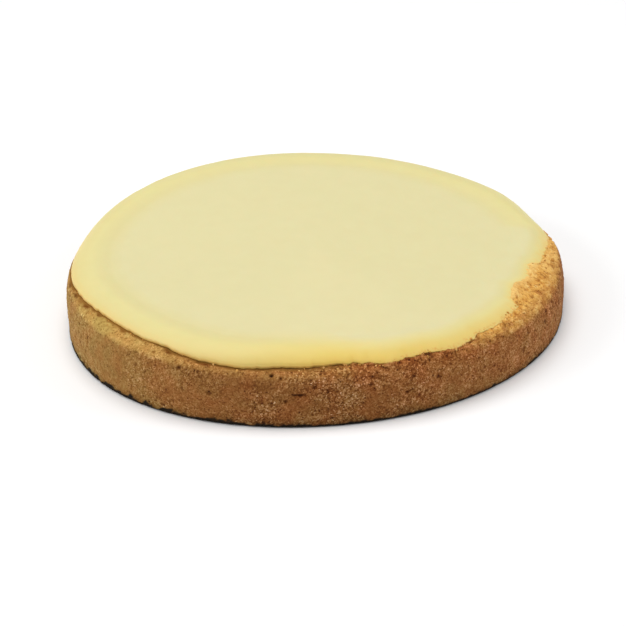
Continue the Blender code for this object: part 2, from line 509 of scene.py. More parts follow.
class Cake:
    """The cake's form at each direction round it, which its two pieces share."""

    def __init__(self, columns):
        self.angles = np.arange(columns) * 2 * np.pi / columns
        self.outline = outline(self.angles)
        self.rim = rim_height(self.angles)
        self.width = crumb_width(self.angles)
        self.broad = rise(self.width, *BROAD_WIDTHS)
        for direction, spread, share in MERGING:
            self.broad = np.maximum(self.broad, share * bell(self.angles, direction, spread, 6))
        self.tuck = LEDGE_TUCK * self.broad
        self.golden = 1 - rise(turned(self.angles, GOLDEN_DIRECTION), *GOLDEN_SPREAD)
        self.ragged_front = bell(self.angles, *RAGGED_STRETCH, 3)
        self.ragged = np.maximum(self.golden, self.ragged_front)
        self.round = top_round(self.angles)
        self.inset = self.round + self.width
        self.calm = self.round + even_width(self.angles) - self.inset
        self.height = self.rim + CRUMB_SLOPE * self.width

    def row(self, inset, height):
        """One row of points round the cake."""
        radius = self.outline - inset
        x = RINGS_MIDDLE[0] + radius * np.cos(self.angles)
        y = RINGS_MIDDLE[1] + radius * np.sin(self.angles)
        return np.stack([x, y, height + 0 * radius], axis=-1)


def even_steps(curve, rows):
    """Shares from 0 to 1 that cut a curve, given as a function of a share, into rows of equal length."""
    shares = np.linspace(0, 1, 400)
    way = np.array([curve(share) for share in shares])
    along = np.concatenate([[0], np.cumsum(np.linalg.norm(np.diff(way, axis=0), axis=1))])
    return np.interp(np.linspace(0, along[-1], rows), along, shares)


# ---- meshes


def grid_normals(rows):
    """Outward directions over a grid of rows of points that run up or inwards."""
    across = np.roll(rows, -1, axis=1) - np.roll(rows, 1, axis=1)
    up = np.gradient(rows, axis=0)
    normals = np.cross(across, up)
    return normals / np.maximum(np.linalg.norm(normals, axis=-1, keepdims=True), 1e-12)


def add_object(name, data):
    """A new object in the scene."""
    added = bpy.data.objects.new(name, data)
    bpy.context.scene.collection.objects.link(added)
    return added


def add_mesh(name, points, faces, looks):
    """A new mesh in the scene, with named numbers at its points."""
    mesh = bpy.data.meshes.new(name)
    mesh.from_pydata(points, [], faces)
    for look, values in looks.items():
        mesh.attributes.new(look, "FLOAT", "POINT").data.foreach_set("value", values)
    mesh.shade_smooth()
    return add_object(name, mesh)


def grid_piece(name, rows, looks, middle_height=None):
    """A closed piece skinned over rows of points. looks gives its named numbers at each point.
    The first row is closed by one flat face, and so is the last, unless middle_height makes it a fan."""
    count, columns = rows.shape[:2]
    index = np.arange(count * columns).reshape(count, columns)
    following = np.roll(index, -1, axis=1)
    quads = np.stack([index[:-1], following[:-1], following[1:], index[1:]], axis=-1).reshape(-1, 4)
    faces = quads.tolist() + [index[0, ::-1].tolist()]
    points = rows.reshape(-1, 3)
    if middle_height is None:
        faces.append(index[-1].tolist())
    else:
        points = np.concatenate([points, [[*RINGS_MIDDLE, middle_height]]])
        middle = count * columns
        faces += [[a, b, middle] for a, b in zip(index[-1].tolist(), following[-1].tolist())]
    for look, values in looks.items():
        flat = np.asarray(values, np.float32).reshape(-1)
        looks[look] = flat if middle_height is None else np.append(flat, flat[-columns:].mean())
    return add_mesh(name, points.tolist(), faces, looks)


# ---- the crust


def wall_profile(share):
    """The upper wall's share of its lean and of the rim's height, from the belly at 0 to the top at 1."""
    bend = 0.5 * math.pi * share
    return 1 - math.cos(bend), BELLY_SHARE + (1 - BELLY_SHARE) * math.sin(bend)


def crust_rows(cake):
    """The crust's rows before any relief, and for each row how far up the crumb ledge it is, from 0 to 1."""
    rows = [cake.row(UNDERSIDE_INSET, 0)]
    for share in np.linspace(0, 1, FOOT_ROWS):
        bend = 0.5 * math.pi * share
        inset = FOOT_INSET + FOOT_ROUND * (1 - math.sin(bend))
        rows.append(cake.row(inset, FOOT_ROUND * (1 - math.cos(bend))))
    foot_share = FOOT_ROUND / RIM_HEIGHT
    for share in np.linspace(foot_share, BELLY_SHARE, WALL_ROWS)[1:]:
        inset = FOOT_INSET * ((BELLY_SHARE - share) / (BELLY_SHARE - foot_share)) ** 2
        rows.append(cake.row(inset, FOOT_ROUND + (share - foot_share) * cake.rim))
    belly = rows[-1][:, 2]
    steps = even_steps(lambda share: np.array(wall_profile(share)) * (TOP_ROUND, RIM_HEIGHT), LEAN_ROWS)
    for lean, share in (wall_profile(step) for step in steps[1:]):
        climb = (share - BELLY_SHARE) / (1 - BELLY_SHARE)
        rows.append(cake.row(lean * cake.round, belly + climb * (cake.rim - belly)))
    ledge = [0.0] * len(rows)
    for share in np.linspace(0, 1, LEDGE_ROWS + 1)[1:]:
        way = share * (cake.width + cake.tuck)
        height = cake.rim + CRUMB_SLOPE * np.minimum(way, cake.width)
        rows.append(cake.row(cake.round + way, height))
        ledge.append(share)
    for inwards, drop in (LEDGE_END, (LIP_COVER, LIP_DROP)):
        rows.append(cake.row(cake.inset + cake.tuck + inwards, cake.height - drop))
        ledge.append(1.0)
    rows.append(cake.row(cake.inset + LIP_COVER + INNER_TAPER, BASE_THICKNESS))
    ledge.append(1.0)
    return np.array(rows), np.array(ledge)


def below_line(cake, rows, ledge):
    """How far each point is from the filling's line, down along the crust's surface."""
    steps = np.linalg.norm(np.diff(rows, axis=0), axis=-1)
    along = np.concatenate([np.zeros((1, rows.shape[1])), np.cumsum(steps, axis=0)])
    rim_row = np.count_nonzero(ledge[:, 0] == 0) - 1
    return along[rim_row] + cake.width * math.hypot(1, CRUMB_SLOPE) - along


def marks(cake, rows, below, places):
    """Single marks on the crust, 1 in the middle of each. A place is (direction in degrees, millimetres
    below the line, half width, half height, strength)."""
    ragged_along = soft_noise(rows, *MARK_RAGS_ALONG)
    ragged_down = soft_noise(rows, *MARK_RAGS_DOWN)
    total = np.zeros(rows.shape[:2])
    for direction, down, half_width, half_height, strength in places:
        turn = (cake.angles - math.radians(direction) + math.pi) % (2 * math.pi) - math.pi
        across = (turn[None, :] * CAKE_RADIUS + ragged_along) / (half_width * MM)
        up = (below - down * MM + ragged_down) / (half_height * MM)
        total += strength * fade(across**2 + up**2, 1)
    return total


# The looks that are half way on the flat underside, where the others are 0
HALF_BELOW = ("grain", "speck", "chunk", "lump", "rough", "pale")


class Crumb:
    """The crumb at each point of the crust, which both its relief and its looks are made of."""

    def __init__(self, cake, rows, ledge):
        self.cake = cake
        self.rows = rows
        self.ledge = ledge
        self.height = rows[:, :, 2]
        self.climb = self.height / cake.rim
        self.below = below_line(cake, rows, ledge)
        self.near_top = rise(self.climb, *NEAR_TOP)
        self.on_ledge = np.maximum(self.near_top, ledge > 0)
        self.coarse = cake.broad * self.on_ledge
        on_rim = np.maximum(rise(self.climb, *ON_RIM), ledge > 0)
        self.ragged = cake.ragged * on_rim * (1 - LESS_RAGGED * self.coarse)
        self.pale = 1 - rise(turned(cake.angles, PALE_DIRECTION), *PALE_SPREAD)
        self.calm = bell(cake.angles, *CALM_STRETCH, 4)
        self.patches = layered_noise(rows, *PATCHES)
        self.add_grains()
        self.add_pits()
        self.add_line()

    def add_grains(self):
        """Grains, small grains, lumps and chunks: how far points are from borders, and their own numbers."""
        self.border, self.own = grains(self.rows, *GRAINS)
        self.small_own = grains(self.rows, *SMALL_GRAINS)[1]
        self.lump_border, self.lump_own = grains(self.rows, *LUMPS)
        chunk_border, self.chunk_own = grains(self.rows, *CHUNKS)
        self.dips = fade(chunk_border, DIP_WIDTH)

    def add_pits(self):
        """Pits, smears and chips, and how rough the crumb is between them."""
        patchy = rise(self.patches, *ROUGH_PATCHES)
        even = LESS_WHERE_EVEN * bell(self.cake.angles, *EVEN_STRETCH, 4)
        smooth = 1 - np.maximum(LESS_WHERE_CALM * self.calm, even)
        smooth = smooth * (1 - LESS_WHERE_PALE * self.pale) * (1 - LESS_NEAR_TOP * self.near_top)
        self.rough = patchy * smooth
        self.holes = pits(self.rows, *HOLES) * patchy
        self.fine_holes = pits(self.rows, *FINE_HOLES) * at_least(LEAST_FINE_HOLES, patchy)
        down, reach, strength = RIM_HOLES_BAND
        rim_holes = strength * fade(self.below - down, reach) * self.cake.ragged_front
        rim_holes = rim_holes * pits(self.rows, *RIM_HOLES)
        self.pits = marks(self.cake, self.rows, self.below, PITS) + rim_holes
        self.smears = marks(self.cake, self.rows, self.below, SMEARS)
        self.chips = pits(self.rows, *CHIPS) * (1 - rise(self.height, *CHIPS_TOP))

    def add_line(self):
        """The line under the filling and the stain beside it, both of uneven width."""
        wander = 1 + layered_noise(self.rows, *LINE_WANDER) + soft_noise(self.rows, *FINE_LINE_WANDER)
        brown = 1 - self.cake.golden
        self.line = fade(self.below, LINE_WIDTH * wander, 4) * brown
        self.halo = fade(self.below, HALO_WIDTH * wander) * brown

    def lumps(self):
        """The coarse relief of the broad ledge, in metres."""
        lumps = LUMP_HEIGHT * (self.lump_own - 0.5) + LUMP_CROWN * np.clip(self.lump_border, 0, 0.5)
        lumps += LUMP_GRAIN_HEIGHT * (self.own - 0.5)
        lumps -= LUMP_CRACK_DEPTH * fade(self.border, LUMP_CRACK_WIDTH)
        return lumps + layered_noise(self.rows, *LUMP_WAVES)

    def relief(self):
        """How far the crumb stands out from the crust's even surface, in metres."""
        relief = soft_noise(self.rows, *SWELL) + layered_noise(self.rows, *WAVES)
        relief += at_least(LEAST_GRAINS, self.rough) * GRAIN_HEIGHT * (self.own - 0.5)
        relief -= at_least(LEAST_CRACKS, self.rough) * CRACK_DEPTH * fade(self.border, CRACK_WIDTH)
        relief += at_least(LEAST_SMALL_GRAINS, self.rough) * SMALL_GRAIN_HEIGHT * (self.small_own - 0.5)
        relief -= HOLE_DEPTH * self.holes + FINE_HOLE_DEPTH * self.fine_holes
        relief -= PIT_DEPTH * self.pits + SMEAR_DEPTH * self.smears
        relief += (self.lumps() - LESS_UNDER_LUMPS * relief) * self.coarse
        relief += (CHUNK_HEIGHT * (self.chunk_own - 0.5) - CHUNK_DIP * self.dips) * self.ragged
        return relief - LINE_DEPTH * self.line - CHIP_DEPTH * self.chips

    def pit_shade_look(self):
        """Painted shade in the bottoms of holes, pits and the dips beside chunks."""
        shaded_dips = self.dips * (self.chunk_own < SHADED_CHUNKS) * self.ragged
        parts = (self.holes, self.fine_holes, self.pits, shaded_dips)
        return np.clip(sum(part * dark for part, dark in zip(parts, PIT_SHADE)), 0, 1)

    def gold_look(self):
        """How golden the crumb is: wholly on the ledge, and partly on the rim outside it."""
        gold = at_least(LEAST_GOLDEN_RIM, bell(self.cake.angles, *GOLDEN_RIM)) * self.near_top
        gold += GOLDEN_LEDGE * self.ledge + GOLD_UNEVENNESS * (self.lump_own - 0.5) * self.on_ledge
        return self.cake.golden * np.clip(gold, 0, 1)

    def cream_look(self):
        """Where the golden crumb is creamy: beside the filling, and on one stretch of the rim."""
        inner = rise(self.ledge + CREAM_UNEVENNESS * (self.lump_own - 0.5), *CREAMY_LEDGE)
        rim = RIM_CREAM * bell(self.cake.angles, *CREAMY_RIM, 4) * self.on_ledge * self.lump_own
        return self.cake.golden * np.maximum(inner, rim)

    def rim_pale_and_highlight_look(self):
        """How much lighter the rim is than the wall: partly paler crumb, partly a painted highlight along the
        top.
        """
        browner = bell(self.cake.angles, *BROWNER_AND_LESS_LIT_RIM_STRETCH, 4)
        paler = bell(self.cake.angles, *PALER_AND_MORE_LIT_RIM_STRETCH, 4)
        return rise(self.climb, *LIGHT_RIM) * (RIM_LIGHT - LESS_LIGHT * browner + MORE_LIGHT * paler)

    def foot_shadow_look(self):
        """A near-black painted shadow along the foot, which frays most on one side."""
        frayed = bell(self.cake.angles, *FRAYED_SHADOW_STRETCH, 4)
        edge = np.interp(frayed, (0, 1), FOOT_SHADOW_EDGE)
        edge = edge + np.interp(frayed, (0, 1), SHADOW_FRAY_HEIGHT) * layered_noise(self.rows, *SHADOW_FRAYS)
        return 1 - rise(self.height, edge - FOOT_SHADOW_BLUR[0], edge + FOOT_SHADOW_BLUR[1])

    def looks(self):
        """The numbers that the crust's material reads at each point, 0 to 1 but for the patches."""
        cake = self.cake
        stained = bell(cake.angles, *STAINED_STRETCH, 4)
        return {
            "grain": self.own,
            "speck": self.small_own,
            "chunk": 0.5 + self.ragged * (self.chunk_own - 0.5),
            "rough": self.rough,
            "patch": self.patches,
            # painted shade in holes, pits and dips
            "pit": self.pit_shade_look(),
            "gold": self.gold_look(),
            "cream": self.cream_look(),
            "light": self.rim_pale_and_highlight_look(),
            "calm": self.calm + 0 * self.height,
            "red": cake.ragged * (1 - LESS_RED * cake.golden) * rise(self.climb, *RED_WALL),
            # painted shade in the cracks between grains
            "shaded_gap": fade(self.border, SHADED_GAP_WIDTH),
            "lump": self.lump_own,
            "scorch": np.clip(self.line * (1 - LESS_SCORCH * cake.ragged), 0, 1),
            "halo": np.clip(np.interp(stained, (0, 1), HALO) * self.halo, 0, 1),
            "smear": np.clip(self.smears, 0, 1),
            # painted shade, darker towards the foot
            "foot": 1 - rise(self.height, FOOT_SHADE[0], FOOT_SHADE[1] + FOOT_SHADE_WANDER * self.patches),
            # a near-black painted shadow along the foot
            "under": self.foot_shadow_look(),
            "pale": self.pale * (1 - LESS_PALE_TOP * self.near_top),
        }


def make_crust(cake):
    """The crumb crust, with its relief cut into the mesh, and its rows."""
    rows, ledge = crust_rows(cake)
    ledge = np.broadcast_to(ledge[:, None], rows.shape[:2])
    crumb = Crumb(cake, rows, ledge)
    shown = np.ones(rows.shape[:2])
    shown[:2] = 0
    shown[-2:] = 0
    climb = rise(rows[..., 2], 0, FOOT_HEIGHT)
    bias = np.interp(climb, (0, 1), (FOOT_BIAS, CRUST_BIAS))
    relief = crumb.relief() * at_least(FOOT_RELIEF, climb)
    rows = rows + grid_normals(rows) * (shown * (relief - bias))[..., None]
    rows[..., 2] = np.maximum(rows[..., 2], 0)
    looks = crumb.looks()
    for look, values in looks.items():
        looks[look] = np.array(values, float)
        looks[look][0] = 0.5 if look in HALF_BELOW else 0
    return grid_piece("crust_crumb", rows, looks), rows


# ---- the filling


def quarter_round(share):
    """The height of a quarter circle, from 0 at its upright start to 1."""
    return math.sqrt(1 - (1 - share) ** 2)


def filling_rows(cake):
    """The filling's rows, how far each point is from the crust in metres, and the middle's height.
    Its edge is a rounded lip that sits on the crust, or a thin slope that runs out over broad crumb."""
    start = cake.height - EDGE_SINK * (1 + cake.broad)
    rows = [
        cake.row(cake.inset + cake.tuck + LIP_COVER + INNER_TAPER + GAP, BASE_THICKNESS + GAP),
        cake.row(cake.inset + cake.tuck + LIP_COVER + GAP, cake.height - LIP_DROP + GAP),
        cake.row(cake.inset + LIP_INSIDE, start),
    ]
    way = [0 * cake.inset] * len(rows)
    plain = 1 - cake.broad
    reach = EDGE_REACH * cake.broad
    lip = np.interp(plain, (0, 1), LIP_HEIGHTS)
    for share in np.linspace(0, 1, LIP_ROWS):
        bend = math.pi * (share - 0.5)
        inset = cake.inset - reach - LIP_BULGE * plain * math.cos(bend)
        rows.append(cake.row(inset, start + 0.5 * lip * (1 + math.sin(bend))))
        way.append(LIP_HEIGHT * share * plain)
    crest = flat_height(cake.angles) + CREST_RISE
    for share in even_steps(lambda share: (share, CREST_SLOPE * quarter_round(share)), CREST_ROWS)[1:]:
        round_climb = quarter_round(share)
        long_climb = math.sin(0.5 * math.pi * share)
        climb = long_climb + LIP_ROUNDNESS * plain * (round_climb - long_climb)
        from_crust = share * (CREST_INSET + reach) - reach
        inset = cake.inset + cake.calm * rise(from_crust, 0, CALM_REACH)
        rows.append(cake.row(inset + from_crust, start + lip + (crest - start - lip) * climb))
        way.append(LIP_HEIGHT * plain + np.maximum(from_crust, 0))
    calm = cake.inset + cake.calm
    for share in np.linspace(0, 1, SINK_ROWS + 1)[1:]:
        drop = (CREST_RISE + FLAT_SINK) * share * share * (3 - 2 * share)
        from_crust = CREST_INSET + share * (FLAT_INSET - CREST_INSET)
        rows.append(cake.row(calm + from_crust, crest - drop))
        way.append(LIP_HEIGHT * plain + from_crust)
    edge = cake.outline - calm - FLAT_INSET
    level = RIM_HEIGHT + FILLING_RISE - FLAT_SINK
    for share in np.linspace(1, 0, FLAT_ROWS + 2)[1:-1]:
        rows.append(cake.row(cake.outline - share * edge, level + share * FLAT_TILT * uneven(cake.angles)))
        way.append(LIP_HEIGHT * plain + FLAT_INSET + (1 - share) * edge)
    return np.array(rows), np.array(way), level


def make_filling(cake):
    """The baked filling: satin smooth, softly uneven, and yellower towards the crust."""
    rows, way, level = filling_rows(cake)
    shown = np.ones(rows.shape[:2])
    shown[:3] = 0
    swell = soft_noise(rows, *FILLING_SWELL) + soft_noise(rows, *FILLING_WAVES)
    edge = 1 - rise(way, *FILLING_EDGE_END)
    swell += edge * layered_noise(rows, *FILLING_EDGE)
    rows = rows + grid_normals(rows) * (shown * (swell - FILLING_BIAS))[..., None]
    even = bell(cake.angles, *BACK_STRETCH, 4) * rise(way, *BACK_EDGE)
    further, share = THINNED
    thinned = way + (further + share * way) * cake.broad
    looks = {
        "inwards": np.clip(np.maximum(thinned, BACK_EVEN * even) / COLOUR_REACH, 0, 1),
        "deep": bell(cake.angles, *DEEP_STRETCH) + 0 * way,
        "thin": cake.broad * (1 - rise(way, *THIN_EDGE)),
        "brink": cake.broad * (1 - rise(way, *BRINK)),
    }
    return grid_piece("baked_filling", rows, looks, level - FILLING_BIAS)


# ---- loose crumbs


def crumb_shape():
    """A round crumb's points and triangles, one unit in radius."""
    shape = bmesh.new()
    bmesh.ops.create_icosphere(shape, subdivisions=2, radius=1)
    points = np.array([point.co for point in shape.verts])
    faces = np.array([[point.index for point in face.verts] for face in shape.faces])
    shape.free()
    return points, faces


def random_turn(random):
    """A random rotation, as a 3 by 3 array."""
    axis = Vector(random.normal(size=3)).normalized()
    return np.array(Matrix.Rotation(random.uniform(0, 2 * math.pi), 3, axis))


def crumb_places(cake, rows, random):
    """Where crumbs lie on the crust: (row, column, size)."""
    first = len(rows) - END_ROWS - LEDGE_ROWS
    chance = LEAST_CHANCE + GOLDEN_CHANCE * cake.golden + cake.ragged_front
    chance = chance / chance.sum()
    places = []
    for column in random.choice(len(chance), size=CRUMB_COUNT, p=chance):
        row = first + random.integers(*CRUMB_ROWS)
        size = random.uniform(*CRUMB_RADII) + cake.golden[column] * random.uniform(0, CRUMB_GROWTH) ** 2
        places.append((row, column, size * MM))
    return places


def make_crumbs(cake, rows):
    """Crumbs that lie loose on the ledge and along the rim."""
    random = np.random.default_rng(CRUMB_SEED)
    ball, ball_faces = crumb_shape()
    normals = grid_normals(rows)
    points, triangles, tones = [], [], []
    for number, (row, column, size) in enumerate(crumb_places(cake, rows, random)):
        sides = random.uniform(*CRUMB_SIDES, size=3)
        bumps = 1 + CRUMB_BUMPS * soft_noise(ball * 1.3 + 17.3 * number, 1.0, 111)
        lump = (ball * bumps[:, None] * sides * size) @ random_turn(random).T
        place = rows[row, column] + normals[row, column] * size * random.uniform(*CRUMB_SINK)
        triangles.append(ball_faces + len(ball) * number)
        points.append(lump + place)
        tones.append(np.full(len(ball), random.uniform()))
    faces = np.concatenate(triangles).tolist()
    looks = {"grain": np.concatenate(tones).astype(np.float32)}
    return add_mesh("crumbs", np.concatenate(points).tolist(), faces, looks)


# ---- materials


class Shader:
    """A material's nodes, built with short calls. A value is a number, a colour, another node's output, or
    the name of a pattern or a look."""

    def __init__(self, name):
        self.material = bpy.data.materials.new(name)
        self.material.use_nodes = True
        self.tree = self.material.node_tree
        self.surface = self.tree.nodes["Principled BSDF"]
        self.patterns = {}

    def node(self, kind, settings=(), **inputs):
        """A new node, with its settings and the values of its inputs, by name or by number."""
        node = self.tree.nodes.new("ShaderNode" + kind)
        for name, value in dict(settings).items():
            setattr(node, name, value)
        for name, value in inputs.items():
            self.put(node.inputs[int(name[1:]) if name[1:].isdigit() else name.replace("_", " ")], value)
        return node

    def put(self, socket, value):
        """Feeds a value to an input. A look is read from the mesh's points."""
        if isinstance(value, str) and value in self.patterns:
            value = self.patterns[value]
        elif isinstance(value, str):
            value = self.node("Attribute", {"attribute_name": value}).outputs["Fac"]
        elif isinstance(value, tuple) and socket.type == "RGBA":
            value = (*value, 1.0)
        if isinstance(value, bpy.types.NodeSocket):
            self.tree.links.new(value, socket)
        else:
            socket.default_value = value

    def math(self, operation, first, second=0.0, third=0.0, clamp=False):
        """One step of arithmetic. MULTIPLY_ADD is first times second, plus third."""
        settings = {"operation": operation, "use_clamp": clamp}
        return self.node("Math", settings, _0=first, _1=second, _2=third).outputs[0]

    def weighed(self, start, *parts):
        """A number to start from, plus each (value, weight)."""
        total = start
        for value, weight in parts:
            total = self.math("MULTIPLY_ADD", value, weight, total)
        return total

    def noise(self, size, detail=2.0, roughness=0.5):
        """Noise from 0 to 1 with features of a real size."""
        place = self.node("TexCoord").outputs["Object"]
        node = self.node("TexNoise", Vector=place, Scale=1 / size, Detail=detail, Roughness=roughness)
        return node.outputs["Fac"]

    def cells(self, size):
        """Random cells of a real size, each with its own colour."""
        place = self.node("TexCoord").outputs["Object"]
        warp = self.node("TexNoise", Vector=place, Scale=0.6 / size, Detail=2.0)
        settings = {"operation": "MULTIPLY_ADD"}
        moved = self.node("VectorMath", settings, _0=warp.outputs["Color"], _1=(size,) * 3, _2=place)
        return self.node("TexVoronoi", Vector=moved.outputs[0], Scale=1 / size).outputs["Color"]

    def ramp(self, value, *stops):
        """A colour ramp. Each stop is (place, colour)."""
        node = self.node("ValToRGB", Fac=value)
        elements = node.color_ramp.elements
        while len(elements) < len(stops):
            elements.new(0.5)
        for element, (place, colour) in zip(elements, stops):
            element.position = place
            element.color = (*colour, 1.0)
        return node.outputs["Color"]

    def mix(self, share, first, second, blend="MIX"):
        """Two colours mixed by a share."""
        settings = {"data_type": "RGBA", "blend_type": blend}
        return self.node("Mix", settings, _0=share, _6=first, _7=second).outputs[2]

    def tint(self, colour, by):
        """A colour multiplied by another."""
        return self.mix(1.0, colour, by, "MULTIPLY")

    def tint_where(self, share, colour, by):
        """A colour multiplied by another as far as a share says."""
        return self.mix(share, colour, self.tint(colour, by))

    def bump(self, height, depth, strength):
        """Fine relief that only bends the light: its height from 0 to 1, and how deep that is."""
        node = self.node("Bump", Height=height, Distance=depth, Strength=strength)
        self.put(self.surface.inputs["Normal"], node.outputs[0])

    def finish(self, colour, roughness, **constants):
        """The material, with the surface's colour, roughness and other constants."""
        self.put(self.surface.inputs["Base Color"], colour)
        self.put(self.surface.inputs["Roughness"], roughness)
        for name, value in constants.items():
            self.surface.inputs[name.replace("_", " ")].default_value = value
        return self.material


# Pressed crumb from a pit's bottom, dark with painted shade, to a pale grain: (value, colour)
CRUMB_BROWNS = (
    (0.0, (0.05, 0.014, 0.003)),
    (0.2, (0.15, 0.05, 0.011)),
    (0.36, (0.215, 0.077, 0.017)),
    (0.5, (0.307, 0.129, 0.035)),
    (0.65, (0.436, 0.209, 0.073)),
    (0.83, (0.62, 0.365, 0.175)),
    (1.0, (0.74, 0.5, 0.3)),
)
# The same where the crumb is golden
CRUMB_GOLDS = (
    (0.0, (0.24, 0.075, 0.012)),
    (0.2, (0.44, 0.17, 0.032)),
    (0.4, (0.64, 0.29, 0.056)),
    (0.6, (0.785, 0.43, 0.1)),
    (0.8, (0.86, 0.58, 0.2)),
    (1.0, (0.9, 0.72, 0.4)),
)
LOOSE_CRUMBS = (
    (0.0, (0.25, 0.09, 0.016)),
    (0.5, (0.56, 0.27, 0.058)),
    (1.0, (0.82, 0.53, 0.19)),
)
CRUMB_CREAM = (0.84, 0.585, 0.215)
MOST_CREAM = 0.55
# The hue drifts between these: (value of a broad pattern, tint)
CRUMB_HUES = (
    (0.35, (1.07, 0.94, 0.9)),
    (0.65, (1.0, 1.03, 1.0)),
)
# Tints over the brown crumb, in turn: (look, tint)
BROWN_TINTS = (
    ("pale", (1.16, 1.6, 1.66)),
    # partly paler crumb, partly a painted highlight along the rim
    ("light", (1.63, 2.0, 2.04)),
    ("red", (1.1, 0.96, 0.88)),
    # painted shade: darker and a little greener towards the foot
    ("foot", (0.66, 0.72, 0.66)),
)
# Stains over all the crumb, and then what covers it: the scorched line, and a near-black painted shadow along
# the foot, in the same terms
STAINS = (
    ("halo", (0.8, 0.66, 0.44)),
    ("smear", (0.4, 0.21, 0.08)),
)
COVERS = (
    ("scorch", (0.25, 0.11, 0.018)),
    # a near-black painted shadow along the foot
    ("under", (0.012, 0.008, 0.004)),
)
# How patterns and looks add up: a number to start from, then each (name, weight)
BROWN_TEXTURE = (-0.75, ("fine", 0.68), ("tiny grains", 0.34), ("middle", 0.2), ("broad", 0.28))
TEXTURE_STRENGTH = (0.7, ("rough", 0.66), ("pale", -0.5), ("light", -0.32))
# Here the pit look lays painted shade into holes, pits and dips
BROWN_VALUE = (
    0.225, ("texture", 1.0), ("chunk", 0.34), ("grain", 0.1), ("speck", 0.06), ("patch", 0.03),
    ("calm", 0.035), ("pale specks", 0.22), ("dark specks", -0.2), ("pit", -0.46),
)
# Here the gap look is painted shade in the cracks between grains, and the pit look painted shade in hollows
GOLD_VALUE = (
    0.12, ("lump", 0.2), ("grain", 0.21), ("shaded_gap", -0.2), ("speck", 0.12), ("fine", 0.22),
    ("tiny grains", 0.1), ("middle", 0.1), ("dark specks", -0.3), ("pit", -0.25),
)
FINE_HEIGHT = (0.0, ("tiny grains", 0.45), ("fine", 1.0), ("middle", 0.5))
FINE_HEIGHT_STRENGTH = (1.0, ("gold", -0.45))
LOOSE_VALUE = (0.22, ("grain", 0.42), ("fine", 0.35))
# Tiny grains with a number over the first are pale specks, and those under the second dark ones
PALE_SPECKS = 0.92
DARK_SPECKS = 0.07


def add_crumb_patterns(shader):
    """The crust's patterns that are finer than its mesh."""
    tiny = shader.node("SeparateColor", Color=shader.cells(0.5 * MM))
    pale_specks = shader.math("GREATER_THAN", tiny.outputs[1], PALE_SPECKS)
    shader.patterns = {
        "fine": shader.noise(0.55 * MM, detail=3.0, roughness=0.7),
        "middle": shader.noise(1.6 * MM, roughness=0.6),
        "broad": shader.noise(5 * MM),
        "tiny grains": tiny.outputs[0],
        "pale specks": shader.math("MULTIPLY", pale_specks, "rough"),
        "dark specks": shader.math("LESS_THAN", tiny.outputs[1], DARK_SPECKS),
    }


def brown_crumb(shader):
    """Brown crumb, speckled with pale grains and dark pits."""
    texture = shader.math("MULTIPLY", shader.weighed(*BROWN_TEXTURE), shader.weighed(*TEXTURE_STRENGTH))
    shader.patterns["texture"] = texture
    hue = shader.ramp(shader.noise(7 * MM), *CRUMB_HUES)
    brown = shader.tint(shader.ramp(shader.weighed(*BROWN_VALUE), *CRUMB_BROWNS), hue)
    for look, tint in BROWN_TINTS:
        brown = shader.tint_where(look, brown, tint)
    return brown


def golden_crumb(shader):
    """Golden crumb, creamier where the look says."""
    gold = shader.ramp(shader.weighed(*GOLD_VALUE), *CRUMB_GOLDS)
    return shader.mix(shader.math("MULTIPLY", "cream", MOST_CREAM), gold, CRUMB_CREAM)


def crust_material():
    """Pressed biscuit crumb: brown, golden where it is broad, and dark in its stains and at its foot."""
    shader = Shader("pressed_crumb")
    add_crumb_patterns(shader)
    colour = shader.mix("gold", brown_crumb(shader), golden_crumb(shader))
    for look, tint in STAINS:
        colour = shader.tint_where(look, colour, tint)
    for look, cover in COVERS:
        colour = shader.mix(look, colour, cover)
    height = shader.math("MULTIPLY", shader.weighed(*FINE_HEIGHT), shader.weighed(*FINE_HEIGHT_STRENGTH))
    shader.bump(height, depth=0.45 * MM, strength=0.85)
    return shader.finish(colour, roughness=0.85, Specular_IOR_Level=0.12)


def crumbs_material():
    """Loose crumbs, golden with a few browner ones."""
    shader = Shader("loose_crumb")
    shader.patterns["fine"] = shader.noise(0.5 * MM, detail=3.0, roughness=0.6)
    colour = shader.ramp(shader.weighed(*LOOSE_VALUE), *LOOSE_CRUMBS)
    shader.bump("fine", depth=0.2 * MM, strength=0.8)
    return shader.finish(colour, roughness=0.8, Specular_IOR_Level=0.15)


# The filling's colours: (millimetres from the crust, colour where it is deepest, colour elsewhere)
FILLING_COLOURS = (
    (0.0, (0.42, 0.18, 0.025), (0.42, 0.18, 0.03)),
    (0.4, (0.62, 0.37, 0.065), (0.64, 0.41, 0.105)),
    (1.0, (0.7, 0.47, 0.085), (0.71, 0.56, 0.215)),
    (3.9, (0.74, 0.545, 0.108), (0.703, 0.608, 0.262)),
    (9.0, (0.74, 0.603, 0.205), (0.714, 0.64, 0.29)),
    (15.0, (0.728, 0.632, 0.288), (0.69, 0.615, 0.297)),
    (22.0, (0.708, 0.64, 0.35), (0.69, 0.63, 0.342)),
)
# Where it thins out over the broad crumb, and crumb shows through it
THIN_GOLD = (0.78, 0.56, 0.165)
PEEKING_CRUMB = (0.7, 0.37, 0.072)
# A faint mottle all over it: (value of a pattern, tint)
MOTTLE = (
    (0.3, (0.985, 0.98, 0.965)),
    (0.7, (1.0, 1.0, 1.0)),
)
# How patterns and looks add up, as for the crust
INWARDS = (-0.02, ("clouds", 0.04), ("inwards", 1.0))
PEEKING = (-1.36, ("brink", 1.15), ("lumps", 1.3))
PEEKING_SHARPNESS = 2.5
FILLING_ROUGHNESS = (0.42, ("clouds", 0.1))
# How patchy its thin edge is: times this, plus this
PATCHINESS = (1.3, 0.06)


